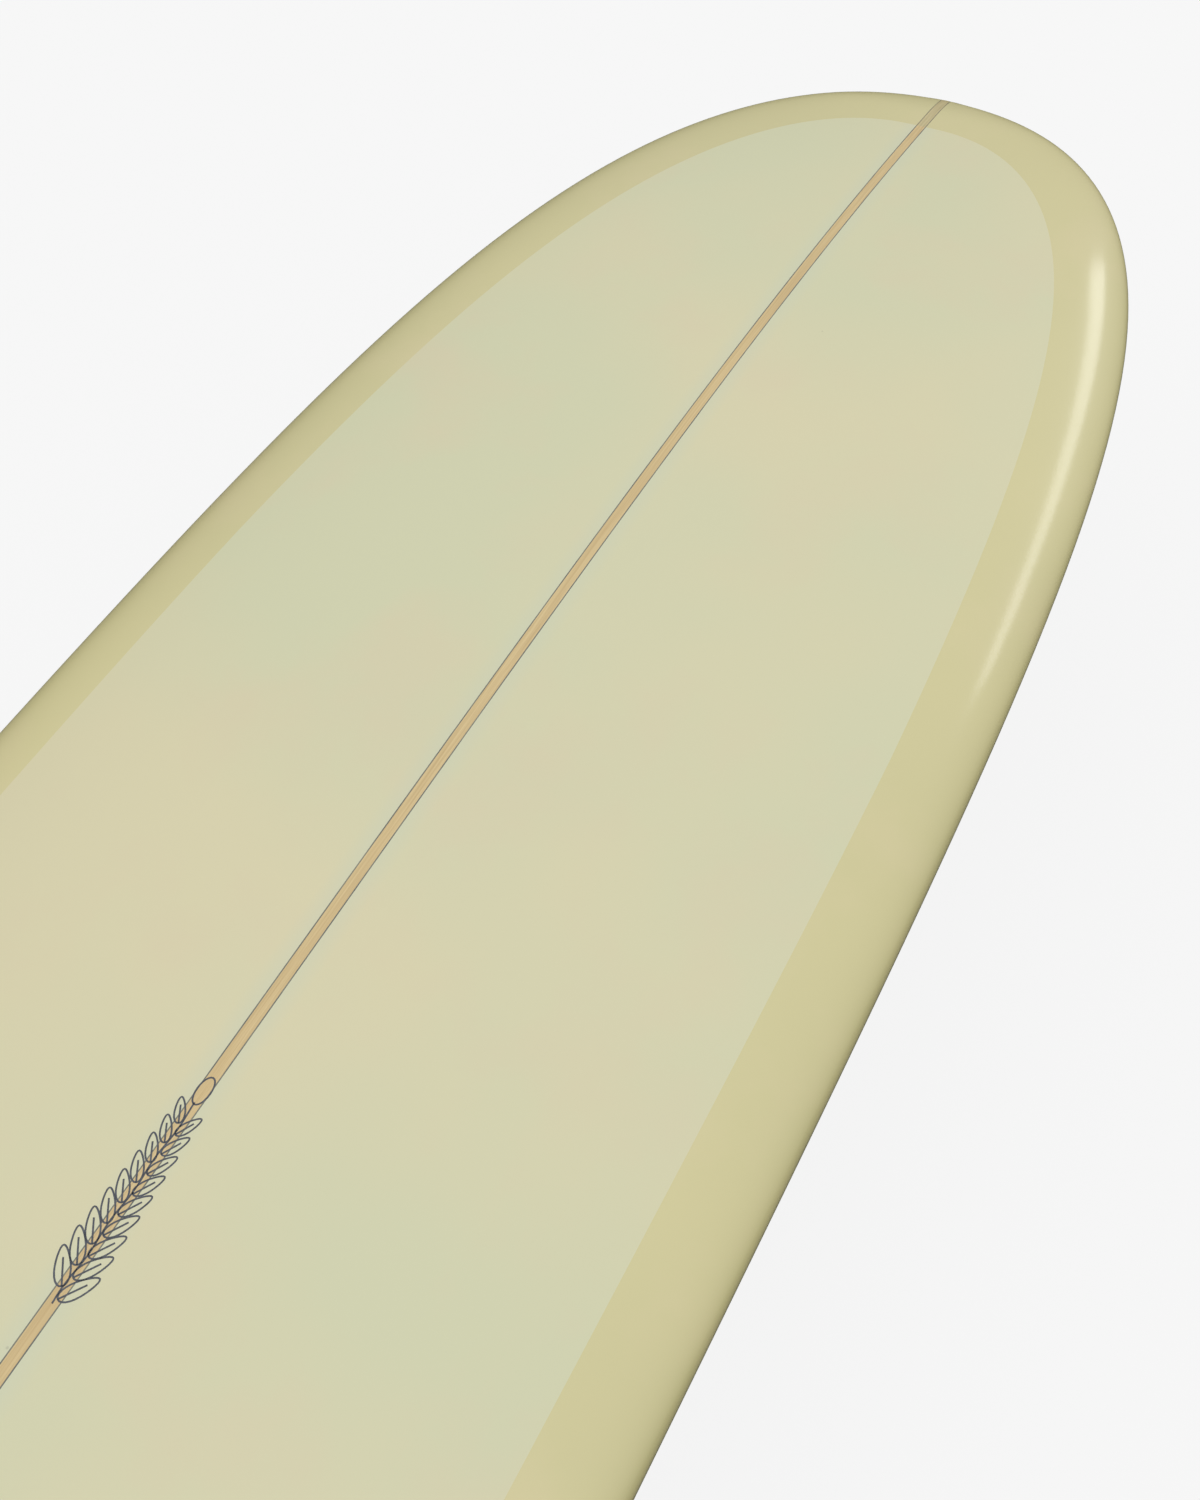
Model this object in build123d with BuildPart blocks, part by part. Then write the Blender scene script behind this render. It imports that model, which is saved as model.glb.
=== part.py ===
from build123d import *
import math
import os

# Longboard surfboard, 9 ft 6 in, built up in the layers a shaper and a glasser make.
# Origin: middle of the board's length, on the stringer, level with the fin's tip.
# +X points to the nose, +Y to the left rail and +Z out of the deck.
# Distances named "back" are measured from the nose tip towards the tail.

os.makedirs("parts", exist_ok=True)

# ---- Board outline (plan view), millimetres ----
LENGTH = 2896.0
HALF_WIDTH = 292.0
WIDE_POINT = 1640.0        # widest place, back from the nose
NOSE_FULLNESS = 6.1        # a larger power gives a fuller, rounder nose
NOSE_ROUNDNESS = 2.12
TIP_HALF = 9.0             # the small flat left at the nose tip
TAIL_HALF = 76.0           # square tail block
TAIL_FULLNESS = 2.5
TAIL_ROUNDNESS = 0.8

# ---- Board side view ----
THICKNESS = 74.0
NOSE_ROCKER = 92.0
NOSE_ROCKER_RUN = 1640.0
NOSE_ROCKER_POWER = 1.35
TAIL_ROCKER = 65.0
TAIL_ROCKER_RUN = 1250.0
TAIL_ROCKER_POWER = 2.0
NOSE_THINNING = 0.86       # share of the thickness lost at the nose tip
NOSE_THINNING_RUN = 1100.0
NOSE_THINNING_POWER = 3.0
TAIL_THINNING = 0.60
TAIL_THINNING_RUN = 1100.0
TAIL_THINNING_POWER = 2.2
NOSE_EDGE = 36.0           # how far the profile takes to round over at each end
TAIL_EDGE = 13.0
NOSE_BLUNT = 4.0           # how far along that rounding each end is cut off
TAIL_BLUNT = 4.0

# ---- Board cross-section ----
APEX = 0.55                # height of the rail's widest line, as a share of thickness
DECK_CROWN = 2.6           # power of the deck's curve: 2 is a half ellipse
BOTTOM_CROWN = 3.6

# ---- How finely the hull's curves are followed ----
STATION_COUNT = 38         # cross-sections along the board
SECTION_STEPS = 9          # points from the stringer to the rail
RAIL_STEPS = 24            # points along the rail line
INNER_STEPS = 26           # points along the lap line
GAP_STEPS = 60             # trial points when the outline is moved inwards
FIN_SECTIONS = 12
FIN_STEPS = 12             # points along each side of a fin section

# ---- Glass layers ----
LAYER = 0.55
BOND = 0.05                # bond line between two layers
LAP = 50.0                 # how far the bottom cloth folds onto the deck
WRAP = 45.0                # how far the deck cloth folds under the rail
CUTTER_LOW = -300.0        # levels well below and above the board
CUTTER_HIGH = 600.0

# ---- Stringer ----
STRINGER = 7.0
GLUE_LINE = 0.8
STRINGER_FACE = STRINGER / 2
FOAM_FACE = STRINGER / 2 + GLUE_LINE

# ---- Fin box and fin, placed on the bottom's slope ----
BOX_BACK = LENGTH - 300.0
BOX_LENGTH = 273.0
BOX_WIDTH = 25.4
BOX_DEPTH = 24.0
BOX_RECESS = 0.8           # the flat box face against the curved bottom
RESIN_BED = 1.5
POCKET_PROUD = 10.0        # how far a pocket's cutter stands out of the board
SLOT_LENGTH = 254.0
SLOT_WIDTH = 9.6
SLOT_DEPTH = 19.5
CHANNEL_WIDTH = 12.9
CHANNEL_LOW = 9.0
CHANNEL_HIGH = 14.0
NOTCH_LENGTH = 15.0
NOTCH_WIDTH = 13.4

FIN_DEPTH = 241.0
FIN_CHORD = 156.0
FIN_REAR = -96.0           # rear end of the blade, from the middle of the box
FIN_ROOT = 2.0             # how far the blade runs up into its tab
FIN_SWEEP = 66.0           # how far the tip is raked back
FIN_FULLNESS = 3.2         # a larger power gives a squarer tip
FIN_TIP_SHARE = 0.99       # share of the outline's depth where the flat tip is
FIN_THICK = 8.4
FIN_TRAILING_HALF = 0.5
FIN_TAPER = 0.6            # share of the thickness lost at the tip
FIN_OUTLINE_POWER = 0.55
FIN_RAKE_POWER = 1.5
FIN_SPACING_POWER = 1.8
TAB_LENGTH = 160.0
TAB_THICK = 9.3
TAB_HEIGHT = 18.5
TONGUE_REACH = 26.0
TONGUE_LOW = 3.5
TONGUE_HIGH = 7.5
SCREW_PLACE = 77.0         # screw's distance ahead of the box's middle
SCREW_RADIUS = 2.0
SCREW_LENGTH = 14.5
SCREW_HEAD_RADIUS = 3.8
SCREW_HEAD = 2.5
SCREW_HEAD_ROUND = 1.0
SCREW_CLEARANCE = 0.3
DRIVE_LENGTH = 4.6         # cross slot in the screw's head
DRIVE_WIDTH = 1.0
DRIVE_DEPTH = 1.5
PLATE_SIDE = 12.6
PLATE_THICK = 2.4
PLATE_GAP = 0.1
PLATE_CORNER = 1.2
THREAD_CLEARANCE = 0.05
PIN_RADIUS = 2.0
PIN_LENGTH = 12.5
PIN_PLACE = -88.0
PIN_CLEARANCE = 0.02
PIN_CHAMFER = 0.4

# ---- Leash plug, placed on the deck's slope ----
PLUG_BACK = LENGTH - 95.0
PLUG_SIDE = 36.0
PLUG_RADIUS = 14.0
PLUG_FLANGE_RADIUS = 15.5
PLUG_FLANGE = 1.6
PLUG_BORE = 11.5
PLUG_DEPTH = 20.0
PLUG_FLOOR = 3.0
PLUG_RECESS = 0.5
BAR_RADIUS = 2.0
BAR_DEPTH = 6.0
BAR_LENGTH = 25.4

# ---- Paper emblem under the gloss, on the stringer ----
EMBLEM_BACK = 1132.0
EMBLEM_LENGTH = 150.0
EMBLEM_WIDTH = 38.0
EMBLEM_THICK = 0.3

# ---- Reinforcing patch round the fin box ----
PATCH_LENGTH = 380.0
PATCH_WIDTH = 130.0
PATCH_REACH = 40.0         # how far the patch's cutter stands out of the board
PATCH_HEIGHT = 60.0


# ---- Shape of the hull ----
def half_width(back):
    """Half of the plan width at a distance back from the nose tip."""
    if back < WIDE_POINT:
        run = 1 - max(back, 0.0) / WIDE_POINT
        bulge = (1 - run ** NOSE_FULLNESS) ** (1 / NOSE_ROUNDNESS)
        return TIP_HALF + (HALF_WIDTH - TIP_HALF) * bulge
    run = 1 - max(LENGTH - back, 0.0) / (LENGTH - WIDE_POINT)
    bulge = (1 - run ** TAIL_FULLNESS) ** TAIL_ROUNDNESS
    return TAIL_HALF + (HALF_WIDTH - TAIL_HALF) * bulge


def rocker(back):
    """Height of the bottom's centre line above its lowest point."""
    nose = max(0.0, 1 - back / NOSE_ROCKER_RUN) ** NOSE_ROCKER_POWER
    tail = max(0.0, 1 - (LENGTH - back) / TAIL_ROCKER_RUN) ** TAIL_ROCKER_POWER
    return NOSE_ROCKER * nose + TAIL_ROCKER * tail


def foil(back):
    """Thickness along the centre line, before the ends are rounded over."""
    nose = max(0.0, 1 - back / NOSE_THINNING_RUN) ** NOSE_THINNING_POWER
    tail = max(0.0, 1 - (LENGTH - back) / TAIL_THINNING_RUN) ** TAIL_THINNING_POWER
    return THICKNESS * (1 - NOSE_THINNING * nose - TAIL_THINNING * tail)


def rounding(back):
    """Share of the thickness left where the profile rounds over at an end."""
    nose = max(0.0, 1 - (back + NOSE_BLUNT) / NOSE_EDGE)
    tail = max(0.0, 1 - (LENGTH - back + TAIL_BLUNT) / TAIL_EDGE)
    return math.sqrt((1 - nose ** 2) * (1 - tail ** 2))


def rail_line(back):
    """Height of the rail's widest line above the bottom's lowest point."""
    return rocker(back) + APEX * foil(back)


def deck_height(back, side):
    rise = (1 - APEX) * foil(back) * rounding(back)
    return rail_line(back) + rise * math.sqrt(1 - abs(side / half_width(back)) ** DECK_CROWN)


def bottom_height(back, side):
    drop = APEX * foil(back) * rounding(back)
    return rail_line(back) - drop * math.sqrt(1 - abs(side / half_width(back)) ** BOTTOM_CROWN)


def fin_chord(depth_share):
    """Front-to-back length of the fin at a share of its depth."""
    return FIN_CHORD * (1 - depth_share ** FIN_FULLNESS) ** FIN_OUTLINE_POWER


def fin_front(depth_share):
    """Leading edge of the fin, from the middle of the box."""
    middle = FIN_REAR + FIN_CHORD / 2 - FIN_SWEEP * depth_share ** FIN_RAKE_POWER
    return middle + fin_chord(depth_share) / 2


BOX_SLOPE = (rocker(BOX_BACK - 1) - rocker(BOX_BACK + 1)) / 2
BOX_TILT = math.atan(BOX_SLOPE)
FIN_DROP = FIN_DEPTH * math.cos(BOX_TILT) - fin_front(FIN_TIP_SHARE) * math.sin(BOX_TILT)
BOTTOM_LEVEL = FIN_DROP - BOX_RECESS - rocker(BOX_BACK)


def x_at(back):
    return LENGTH / 2 - back


def stations(inset):
    """Places of the cross-sections: close together at the two ends."""
    middle = LENGTH / 2
    for step in range(STATION_COUNT + 1):
        share = 2 * step / STATION_COUNT - 1
        reach = math.copysign(1 - (1 - abs(share)) ** 2, share)
        yield middle + (middle - inset) * reach


def hull(inset):
    """The board's solid with its skin moved inwards by the inset."""
    turns = [math.pi / 2 * (step / SECTION_STEPS - 1) for step in range(2 * SECTION_STEPS + 1)]
    with BuildPart() as body:
        for back in stations(inset):
            outer = back - inset if back < LENGTH / 2 else back + inset
            wide = half_width(outer) - inset
            rise = (1 - APEX) * foil(outer) * rounding(outer) - inset
            drop = APEX * foil(outer) * rounding(outer) - inset
            level = BOTTOM_LEVEL + rail_line(outer)
            deck = []
            bottom = []
            for turn in turns:
                share = math.sin(turn)
                up = math.sqrt(max(0.0, 1 - abs(share) ** DECK_CROWN))
                down = math.sqrt(max(0.0, 1 - abs(share) ** BOTTOM_CROWN))
                deck.append((wide * share, level + rise * up))
                bottom.append((wide * share, level - drop * down))
            with BuildSketch(Plane.YZ.offset(x_at(back))):
                with BuildLine():
                    add(Edge.make_spline(deck, parameters=turns))
                    add(Edge.make_spline(bottom, parameters=turns))
                make_face()
        loft(ruled=True)
    return body.part


def inner_outline(gap):
    """Half outline, nose to tail, of the plan area further than the gap from the edge."""
    points = []
    samples = [gap * (2 * step / GAP_STEPS - 1) for step in range(GAP_STEPS + 1)]
    for step in range(INNER_STEPS + 1):
        share = (1 - math.cos(math.pi * step / INNER_STEPS)) / 2
        back = gap + (LENGTH - 2 * gap) * share
        side = min(half_width(back + near) - math.sqrt(gap ** 2 - near ** 2) for near in samples)
        points.append((x_at(back), side))
    return points


def rail_prism(gap, above):
    """Upright solid over the inner outline, on one side of the rail line."""
    left = inner_outline(gap)
    right = [(x, -y) for x, y in left]
    levels = []
    for step in range(RAIL_STEPS + 1):
        back = LENGTH * step / RAIL_STEPS
        levels.append((x_at(back), BOTTOM_LEVEL + rail_line(back)))
    far = CUTTER_HIGH if above else CUTTER_LOW
    with BuildPart() as prism:
        with BuildSketch(Plane.XY.offset(CUTTER_LOW)):
            with BuildLine():
                Spline(*reversed(right), *left)
                Line(left[-1], right[-1])
            make_face()
        extrude(amount=CUTTER_HIGH - CUTTER_LOW)
        with BuildSketch(Plane.XZ):
            with BuildLine():
                Spline(*levels)
                Polyline(levels[-1], (levels[-1][0], far), (levels[0][0], far), levels[0])
            make_face()
        extrude(amount=HALF_WIDTH, both=True, mode=Mode.INTERSECT)
    return prism.part


def slope_plane(back, side, height, slope):
    """Plane on the board's surface, its X along the slope towards the nose."""
    origin = (x_at(back), side, BOTTOM_LEVEL + height)
    return Plane(origin=origin, x_dir=(1, 0, slope), z_dir=(-slope, 0, 1))


def side_plane(offset):
    """Upright plane along the board, facing the left rail."""
    return Plane(origin=(0, offset, 0), x_dir=(-1, 0, 0), z_dir=(0, 1, 0))


box_plane = slope_plane(BOX_BACK, 0, rocker(BOX_BACK) + BOX_RECESS, BOX_SLOPE)
plug_slope = (deck_height(PLUG_BACK - 5, PLUG_SIDE) - deck_height(PLUG_BACK + 5, PLUG_SIDE)) / 10
plug_height = deck_height(PLUG_BACK, PLUG_SIDE) - PLUG_RECESS
plug_plane = slope_plane(PLUG_BACK, PLUG_SIDE, plug_height, plug_slope)

outer_hull = hull(0)
under_emblem = hull(EMBLEM_THICK)
under_outer = hull(LAYER)
inner_hull = hull(LAYER + BOND)
under_inner = hull(2 * LAYER + BOND)
core = hull(2 * LAYER + 2 * BOND)
deck_area = rail_prism(LAP, above=True)
bottom_area = rail_prism(WRAP, above=False)

with BuildPart() as box_pocket:
    with BuildSketch(box_plane.offset(-POCKET_PROUD)):
        SlotOverall(BOX_LENGTH + 2 * RESIN_BED, BOX_WIDTH + 2 * RESIN_BED)
    extrude(amount=POCKET_PROUD + BOX_DEPTH + RESIN_BED)

with BuildPart() as plug_pocket:
    with BuildSketch(plug_plane.offset(POCKET_PROUD)):
        Circle(PLUG_FLANGE_RADIUS + RESIN_BED)
    extrude(amount=-(POCKET_PROUD + PLUG_DEPTH + RESIN_BED))

with BuildPart() as patch_area:
    with BuildSketch(box_plane.offset(-PATCH_REACH)):
        Ellipse(PATCH_LENGTH / 2, PATCH_WIDTH / 2)
    extrude(amount=PATCH_HEIGHT)

with BuildPart() as emblem_area:
    with BuildSketch(Plane.XY.offset(BOTTOM_LEVEL + rail_line(EMBLEM_BACK))):
        with Locations((x_at(EMBLEM_BACK), 0)):
            Ellipse(EMBLEM_LENGTH / 2, EMBLEM_WIDTH / 2)
    extrude(amount=THICKNESS)


# ---- Core: two foam halves glued to a wooden stringer ----
with BuildPart() as foam_blank_left:
    add(core)
    split(bisect_by=side_plane(FOAM_FACE), keep=Keep.TOP)
    add(box_pocket.part, mode=Mode.SUBTRACT)
    add(plug_pocket.part, mode=Mode.SUBTRACT)

with BuildPart() as foam_blank_right:
    add(core)
    split(bisect_by=side_plane(-FOAM_FACE), keep=Keep.BOTTOM)
    add(box_pocket.part, mode=Mode.SUBTRACT)

with BuildPart() as stringer:
    add(core)
    split(bisect_by=side_plane(-STRINGER_FACE), keep=Keep.TOP)
    split(bisect_by=side_plane(STRINGER_FACE), keep=Keep.BOTTOM)
    add(box_pocket.part, mode=Mode.SUBTRACT)

with BuildPart() as glue_line_left:
    add(core)
    split(bisect_by=side_plane(STRINGER_FACE), keep=Keep.TOP)
    split(bisect_by=side_plane(FOAM_FACE), keep=Keep.BOTTOM)
    add(box_pocket.part, mode=Mode.SUBTRACT)

with BuildPart() as glue_line_right:
    add(core)
    split(bisect_by=side_plane(-FOAM_FACE), keep=Keep.TOP)
    split(bisect_by=side_plane(-STRINGER_FACE), keep=Keep.BOTTOM)
    add(box_pocket.part, mode=Mode.SUBTRACT)


# ---- Inner glass: the bottom cloth laps over the rails, a deck patch fills between ----
with BuildPart() as deck_patch:
    add(inner_hull)
    add(deck_area, mode=Mode.INTERSECT)
    add(under_inner, mode=Mode.SUBTRACT)
    add(plug_pocket.part, mode=Mode.SUBTRACT)

with BuildPart() as bottom_lamination:
    add(inner_hull)
    add(under_inner, mode=Mode.SUBTRACT)
    add(deck_area, mode=Mode.SUBTRACT)
    add(box_pocket.part, mode=Mode.SUBTRACT)


# ---- Outer glass: the deck cloth wraps under the rails, a gloss coat fills the bottom ----
with BuildPart() as deck_emblem:
    add(outer_hull)
    add(emblem_area.part, mode=Mode.INTERSECT)
    add(under_emblem, mode=Mode.SUBTRACT)

with BuildPart() as deck_lamination:
    add(outer_hull)
    add(under_outer, mode=Mode.SUBTRACT)
    add(bottom_area, mode=Mode.SUBTRACT)
    add(plug_pocket.part, mode=Mode.SUBTRACT)
    add(deck_emblem.part, mode=Mode.SUBTRACT)

with BuildPart() as bottom_gloss_coat:
    add(outer_hull)
    add(bottom_area, mode=Mode.INTERSECT)
    add(under_outer, mode=Mode.SUBTRACT)
    add(patch_area.part, mode=Mode.SUBTRACT)

with BuildPart() as fin_box_patch:
    add(outer_hull)
    add(bottom_area, mode=Mode.INTERSECT)
    add(patch_area.part, mode=Mode.INTERSECT)
    add(under_outer, mode=Mode.SUBTRACT)
    add(box_pocket.part, mode=Mode.SUBTRACT)


# ---- Fin box set in resin ----
with BuildPart() as fin_box_resin_bed:
    with BuildSketch(box_plane):
        SlotOverall(BOX_LENGTH + 2 * RESIN_BED, BOX_WIDTH + 2 * RESIN_BED)
    extrude(amount=BOX_DEPTH + RESIN_BED)
    with BuildSketch(box_plane):
        SlotOverall(BOX_LENGTH, BOX_WIDTH)
    extrude(amount=BOX_DEPTH, mode=Mode.SUBTRACT)

with BuildPart() as fin_box:
    with BuildSketch(box_plane):
        SlotOverall(BOX_LENGTH, BOX_WIDTH)
    extrude(amount=BOX_DEPTH)
    with BuildSketch(box_plane):
        SlotOverall(SLOT_LENGTH, SLOT_WIDTH)
    extrude(amount=SLOT_DEPTH, mode=Mode.SUBTRACT)
    with BuildSketch(box_plane):
        Rectangle(NOTCH_LENGTH, NOTCH_WIDTH)
    extrude(amount=CHANNEL_HIGH, mode=Mode.SUBTRACT)
    with BuildSketch(box_plane.offset(CHANNEL_LOW)):
        Rectangle(SLOT_LENGTH - SLOT_WIDTH, CHANNEL_WIDTH)
    extrude(amount=CHANNEL_HIGH - CHANNEL_LOW, mode=Mode.SUBTRACT)


# ---- Fin, with its tab, cross pin, screw and nut plate ----
def foil_half(share):
    """Half thickness of a rounded foil as a share of its full thickness."""
    curve = 0.2969 * math.sqrt(share) - 0.126 * share - 0.3516 * share ** 2
    return 5 * (curve + 0.2843 * share ** 3 - 0.1015 * share ** 4)


def fin_section(depth_share):
    """Closed foil outline of the fin at a share of its depth."""
    chord = fin_chord(depth_share)
    thick = FIN_THICK * (1 - FIN_TAPER * depth_share)
    front = fin_front(depth_share)
    upper = []
    for step in range(FIN_STEPS + 1):
        share = (1 - math.cos(math.pi * step / FIN_STEPS)) / 2
        half = thick * foil_half(share) + FIN_TRAILING_HALF * share
        upper.append((front - chord * share, half))
    lower = [(x, -y) for x, y in upper[1:]]
    return list(reversed(upper)) + lower


pin_centre = box_plane.from_local_coords((PIN_PLACE, 0, (CHANNEL_LOW + CHANNEL_HIGH) / 2))
pin_plane = Plane(origin=pin_centre, x_dir=box_plane.x_dir, z_dir=(0, 1, 0))

with BuildPart() as fin:
    for step in range(FIN_SECTIONS):
        reach = 1 - (1 - step / (FIN_SECTIONS - 1)) ** FIN_SPACING_POWER
        depth_share = FIN_TIP_SHARE * reach
        outline = fin_section(depth_share)
        drop = (FIN_DEPTH + FIN_ROOT) * reach - FIN_ROOT
        with BuildSketch(box_plane.offset(-drop)):
            with BuildLine():
                Spline(*outline)
                Line(outline[-1], outline[0])
            make_face()
    loft()
    with BuildSketch(box_plane):
        with Locations((FIN_REAR + FIN_CHORD / 2, 0)):
            SlotOverall(TAB_LENGTH, TAB_THICK)
    extrude(amount=TAB_HEIGHT)
    with BuildSketch(box_plane.offset(TONGUE_LOW)):
        with Locations((FIN_REAR + FIN_CHORD + TONGUE_REACH / 2 - TAB_THICK, 0)):
            SlotOverall(TONGUE_REACH + 2 * TAB_THICK, TAB_THICK)
    extrude(amount=TONGUE_HIGH - TONGUE_LOW)
    with BuildSketch(box_plane):
        with Locations((SCREW_PLACE, 0)):
            Circle(SCREW_RADIUS + SCREW_CLEARANCE)
    extrude(amount=TAB_HEIGHT, mode=Mode.SUBTRACT)
    with BuildSketch(pin_plane):
        Circle(PIN_RADIUS + PIN_CLEARANCE)
    extrude(amount=TAB_THICK, both=True, mode=Mode.SUBTRACT)

with BuildPart() as fin_pin:
    with BuildSketch(pin_plane):
        Circle(PIN_RADIUS)
    extrude(amount=PIN_LENGTH / 2, both=True)
    chamfer(fin_pin.edges().filter_by(GeomType.CIRCLE), PIN_CHAMFER)

with BuildPart() as fin_screw:
    with BuildSketch(box_plane.offset(TONGUE_LOW)):
        with Locations((SCREW_PLACE, 0)):
            Circle(SCREW_HEAD_RADIUS)
    extrude(amount=-SCREW_HEAD)
    fillet(fin_screw.edges().filter_by(GeomType.CIRCLE).sort_by(Axis.Z)[0], SCREW_HEAD_ROUND)
    with BuildSketch(box_plane.offset(TONGUE_LOW)):
        with Locations((SCREW_PLACE, 0)):
            Circle(SCREW_RADIUS)
    extrude(amount=SCREW_LENGTH)
    with BuildSketch(box_plane.offset(TONGUE_LOW - SCREW_HEAD)):
        with Locations((SCREW_PLACE, 0)):
            Rectangle(DRIVE_LENGTH, DRIVE_WIDTH)
            Rectangle(DRIVE_WIDTH, DRIVE_LENGTH)
    extrude(amount=DRIVE_DEPTH, mode=Mode.SUBTRACT)

with BuildPart() as fin_plate:
    with BuildSketch(box_plane.offset(CHANNEL_LOW + PLATE_GAP)):
        with Locations((SCREW_PLACE, 0)):
            RectangleRounded(PLATE_SIDE, PLATE_SIDE, PLATE_CORNER)
            Circle(SCREW_RADIUS + THREAD_CLEARANCE, mode=Mode.SUBTRACT)
    extrude(amount=PLATE_THICK)


# ---- Leash plug set in resin ----
with BuildPart() as leash_plug_cup:
    with BuildSketch(plug_plane):
        Circle(PLUG_FLANGE_RADIUS)
    extrude(amount=-PLUG_FLANGE)
    with BuildSketch(plug_plane):
        Circle(PLUG_RADIUS)
    extrude(amount=-PLUG_DEPTH)
    with BuildSketch(plug_plane):
        Circle(PLUG_BORE)
    extrude(amount=-(PLUG_DEPTH - PLUG_FLOOR), mode=Mode.SUBTRACT)
    bar_origin = plug_plane.from_local_coords((0, 0, -BAR_DEPTH))
    bar_plane = Plane(origin=bar_origin, x_dir=plug_plane.x_dir, z_dir=(0, 1, 0))
    with BuildSketch(bar_plane):
        Circle(BAR_RADIUS)
    extrude(amount=BAR_LENGTH / 2, both=True, mode=Mode.SUBTRACT)

with BuildPart() as leash_plug_bar:
    with BuildSketch(bar_plane):
        Circle(BAR_RADIUS)
    extrude(amount=BAR_LENGTH / 2, both=True)

with BuildPart() as leash_plug_resin_bed:
    with BuildSketch(plug_plane):
        Circle(PLUG_FLANGE_RADIUS + RESIN_BED)
    extrude(amount=-(PLUG_DEPTH + RESIN_BED))
    with BuildSketch(plug_plane):
        Circle(PLUG_FLANGE_RADIUS)
    extrude(amount=-PLUG_FLANGE, mode=Mode.SUBTRACT)
    with BuildSketch(plug_plane):
        Circle(PLUG_RADIUS)
    extrude(amount=-PLUG_DEPTH, mode=Mode.SUBTRACT)


# ---- Labels and files ----
foam_blank_left.part.label = "foam_blank_left"
foam_blank_right.part.label = "foam_blank_right"
stringer.part.label = "stringer"
glue_line_left.part.label = "glue_line_left"
glue_line_right.part.label = "glue_line_right"
deck_patch.part.label = "deck_patch"
bottom_lamination.part.label = "bottom_lamination"
deck_lamination.part.label = "deck_lamination"
bottom_gloss_coat.part.label = "bottom_gloss_coat"
fin_box_patch.part.label = "fin_box_patch"
deck_emblem.part.label = "deck_emblem"
fin_box.part.label = "fin_box"
fin_box_resin_bed.part.label = "fin_box_resin_bed"
fin.part.label = "fin"
fin_pin.part.label = "fin_pin"
fin_screw.part.label = "fin_screw"
fin_plate.part.label = "fin_plate"
leash_plug_cup.part.label = "leash_plug_cup"
leash_plug_bar.part.label = "leash_plug_bar"
leash_plug_resin_bed.part.label = "leash_plug_resin_bed"

export_step(foam_blank_left.part, "parts/foam_blank_left.step")
export_step(foam_blank_right.part, "parts/foam_blank_right.step")
export_step(stringer.part, "parts/stringer.step")
export_step(glue_line_left.part, "parts/glue_line_left.step")
export_step(glue_line_right.part, "parts/glue_line_right.step")
export_step(deck_patch.part, "parts/deck_patch.step")
export_step(bottom_lamination.part, "parts/bottom_lamination.step")
export_step(deck_lamination.part, "parts/deck_lamination.step")
export_step(bottom_gloss_coat.part, "parts/bottom_gloss_coat.step")
export_step(fin_box_patch.part, "parts/fin_box_patch.step")
export_step(deck_emblem.part, "parts/deck_emblem.step")
export_step(fin_box.part, "parts/fin_box.step")
export_step(fin_box_resin_bed.part, "parts/fin_box_resin_bed.step")
export_step(fin.part, "parts/fin.step")
export_step(fin_pin.part, "parts/fin_pin.step")
export_step(fin_screw.part, "parts/fin_screw.step")
export_step(fin_plate.part, "parts/fin_plate.step")
export_step(leash_plug_cup.part, "parts/leash_plug_cup.step")
export_step(leash_plug_bar.part, "parts/leash_plug_bar.step")
export_step(leash_plug_resin_bed.part, "parts/leash_plug_resin_bed.step")
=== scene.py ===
import math

import bpy
from mathutils import Matrix, Vector, kdtree


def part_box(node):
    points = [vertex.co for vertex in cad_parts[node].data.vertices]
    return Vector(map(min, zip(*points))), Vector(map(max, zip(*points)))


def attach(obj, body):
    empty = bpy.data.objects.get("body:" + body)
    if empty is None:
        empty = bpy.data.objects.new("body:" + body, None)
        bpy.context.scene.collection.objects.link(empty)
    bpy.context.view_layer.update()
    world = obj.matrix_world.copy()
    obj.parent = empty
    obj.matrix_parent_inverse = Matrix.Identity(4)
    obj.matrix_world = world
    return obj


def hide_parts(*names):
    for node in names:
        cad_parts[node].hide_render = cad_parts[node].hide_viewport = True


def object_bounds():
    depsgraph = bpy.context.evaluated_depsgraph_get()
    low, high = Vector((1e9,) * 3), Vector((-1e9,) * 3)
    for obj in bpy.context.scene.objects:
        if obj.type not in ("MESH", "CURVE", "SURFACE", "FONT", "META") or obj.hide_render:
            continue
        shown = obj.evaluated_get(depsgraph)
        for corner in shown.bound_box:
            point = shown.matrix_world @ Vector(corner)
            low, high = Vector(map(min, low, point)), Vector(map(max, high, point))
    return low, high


# Looks of the longboard surfboard: glassed foam, a wooden stringer and tinted, lapped rails.
# The skin is one smooth hull, drawn from the same curves as the frame and cut into pieces where
# the board's colour changes: at the lap lines, the stringer and its glue lines.
# Distances named "back" run from the nose tip to the tail, and everything is in metres.

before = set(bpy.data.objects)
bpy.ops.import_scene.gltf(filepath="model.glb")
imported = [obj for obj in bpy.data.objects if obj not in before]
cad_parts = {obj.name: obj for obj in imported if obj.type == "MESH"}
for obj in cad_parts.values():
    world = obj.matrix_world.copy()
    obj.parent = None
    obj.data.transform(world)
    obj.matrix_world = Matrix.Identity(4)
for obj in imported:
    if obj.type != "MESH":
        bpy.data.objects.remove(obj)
cad_low, cad_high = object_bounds()

# ---- Sizes taken from the frame ----
LENGTH = cad_high[0] - cad_low[0]
NOSE_X = cad_high[0]
HALF_WIDTH = (cad_high[1] - cad_low[1]) / 2
BOTTOM_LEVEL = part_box("bottom_gloss_coat")[0][2]
FLOOR_LEVEL = cad_low[2]

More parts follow.
